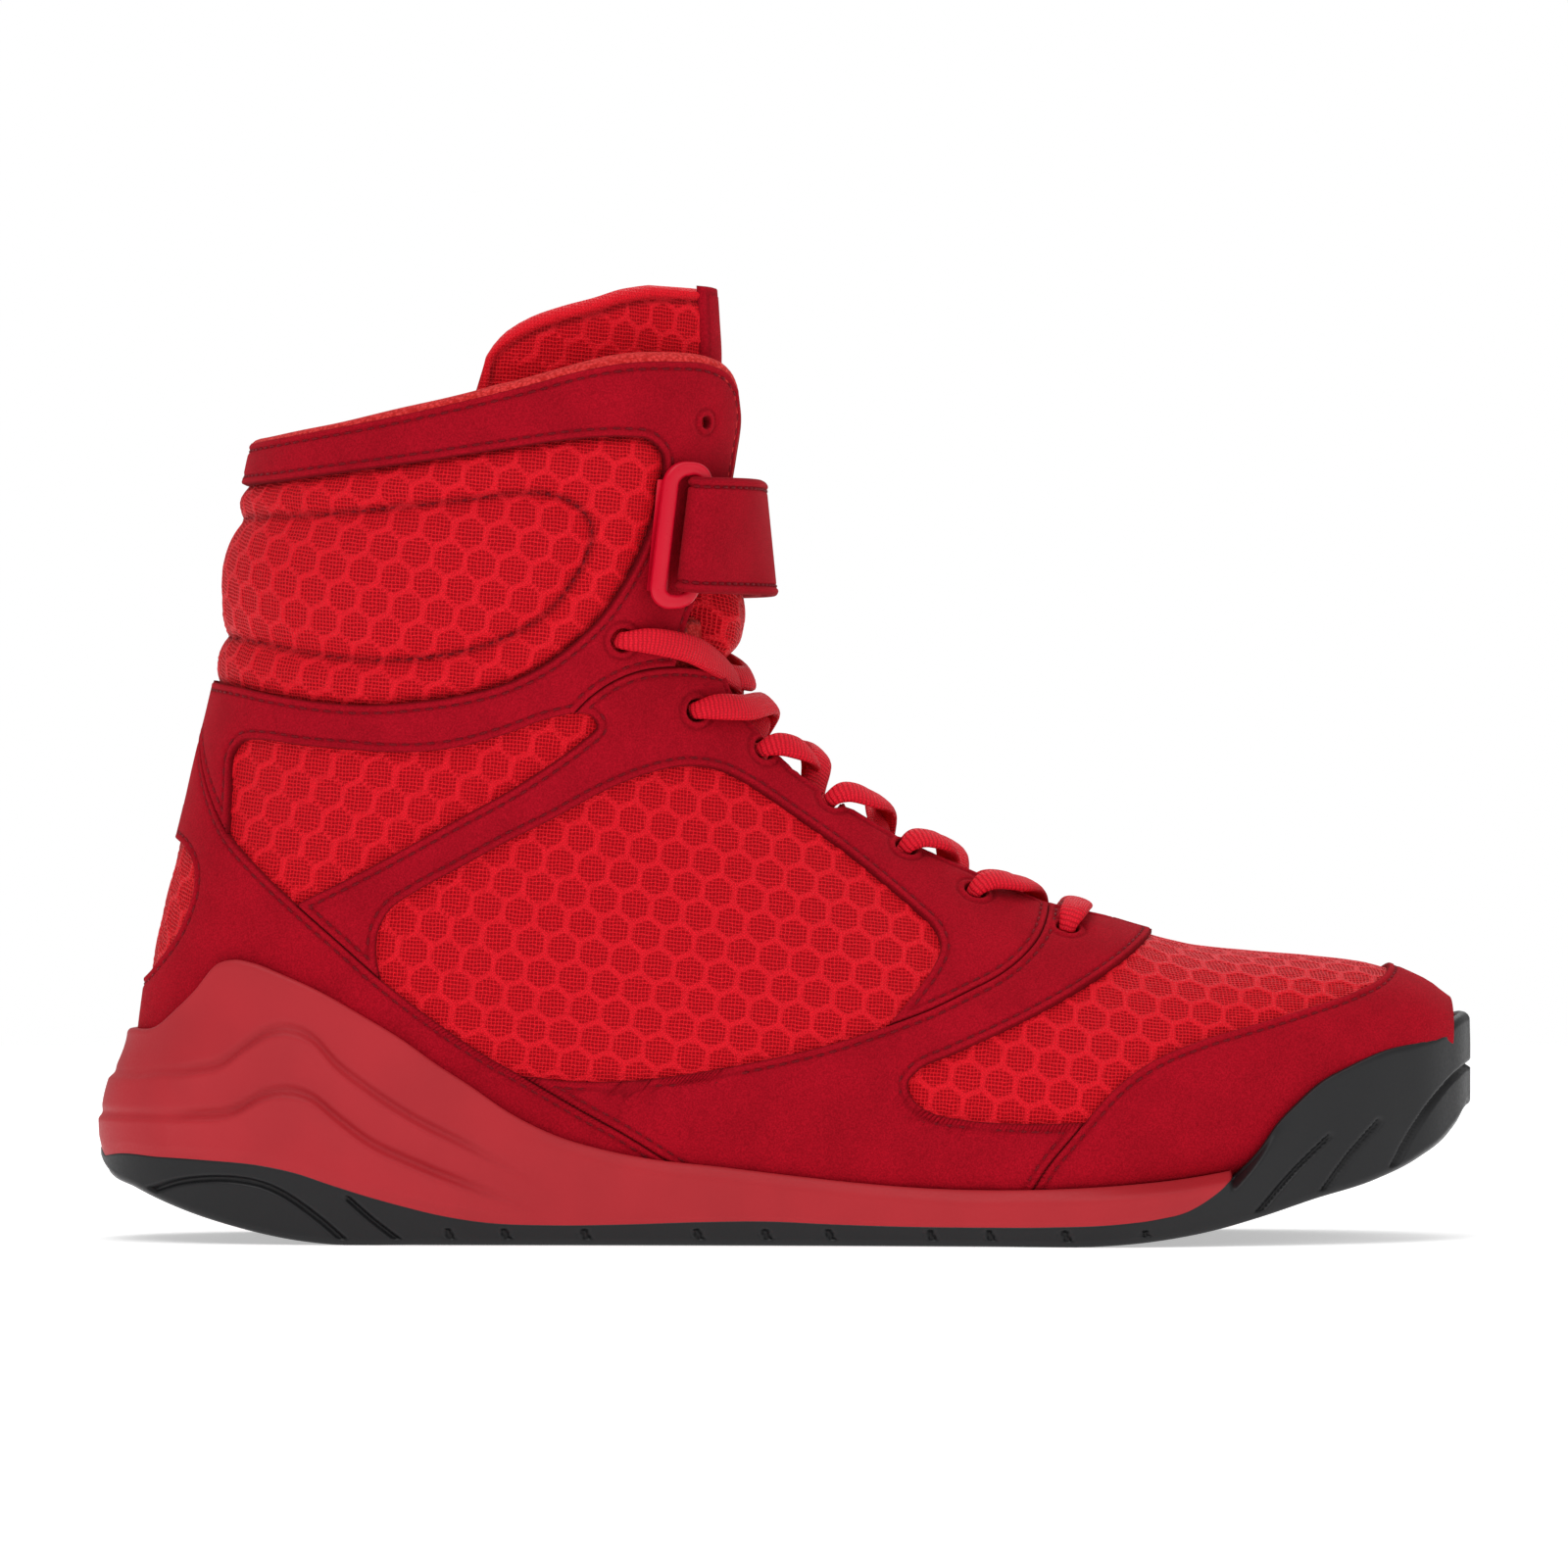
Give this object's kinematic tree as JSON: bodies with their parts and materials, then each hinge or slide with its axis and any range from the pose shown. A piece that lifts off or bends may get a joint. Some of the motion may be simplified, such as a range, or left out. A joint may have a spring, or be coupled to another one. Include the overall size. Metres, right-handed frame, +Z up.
{
  "type": "boxing boot",
  "caption": "High-topped lace-up boxing boot for the right foot, with mesh panels, suede overlays, a padded ankle collar, a raised thin sole and a hook-and-loop ankle strap.",
  "frame": {"origin": "on the ground under the middle of the boot's length, in the middle of the sole's waist", "axes": "+X to the toe, +Y to the inner side of the foot, +Z up"},
  "size_m": [0.2964, 0.1013, 0.2062],
  "materials": {
    "rubber": "matte moulded black rubber",
    "midsole_foam": "matte moulded brick-red foam",
    "board": "stiff fibre board",
    "sockliner": "short dark pile",
    "mesh": "bright red knitted spacer mesh with a honeycomb relief",
    "padding": "open-cell foam",
    "lining": "coral red looped fabric",
    "suede": "deep red fine-nap suede",
    "lace": "bright red flat woven lace",
    "aglet": "clear red plastic tube",
    "guide": "glossy red moulded plastic",
    "touch_tape": "grey hook and loop tape"
  },
  "bodies": {
    "boot": {"outsole": "rubber", "midsole": "midsole_foam", "strobel_board": "board", "sockliner": "sockliner", "heel_counter": "board", "toe_puff": "board", "vamp_mesh": "mesh", "quarter_mesh_lateral": "mesh", "quarter_mesh_medial": "mesh", "ankle_mesh_lateral": "mesh", "ankle_mesh_medial": "mesh", "heel_mesh": "mesh", "collar_mesh": "mesh", "eyelet_stay_lateral": "suede", "eyelet_stay_medial": "suede", "toe_cap": "suede", "saddle_lateral": "suede", "saddle_medial": "suede", "eyestay_lateral": "suede", "eyestay_medial": "suede", "heel_overlay": "suede", "collar_frame": "suede", "collar_foam": "padding", "collar_lining": "lining", "collar_rim": "lining", "quarter_lining_lateral": "lining", "quarter_lining_medial": "lining", "vamp_lining": "lining", "tongue_cover": "mesh", "tongue_foam": "padding", "tongue_lining": "lining", "tongue_patch": "suede", "lace": "lace", "aglets": "aglet", "strap_guide": "guide", "strap_anchor": "guide", "strap_base": "suede", "strap_loop_pad": "touch_tape"},
    "flap": {"strap_flap": "suede", "strap_hook_pad": "touch_tape"}
  },
  "joints": [
    {"name": "strap_hinge", "type": "hinge", "parent": "boot", "child": "flap", "pos_m": [-0.0192, -0.0352, 0.1512], "axis": [-0.12, 0, -0.9928], "range_deg": [0, 100]}
  ]
}
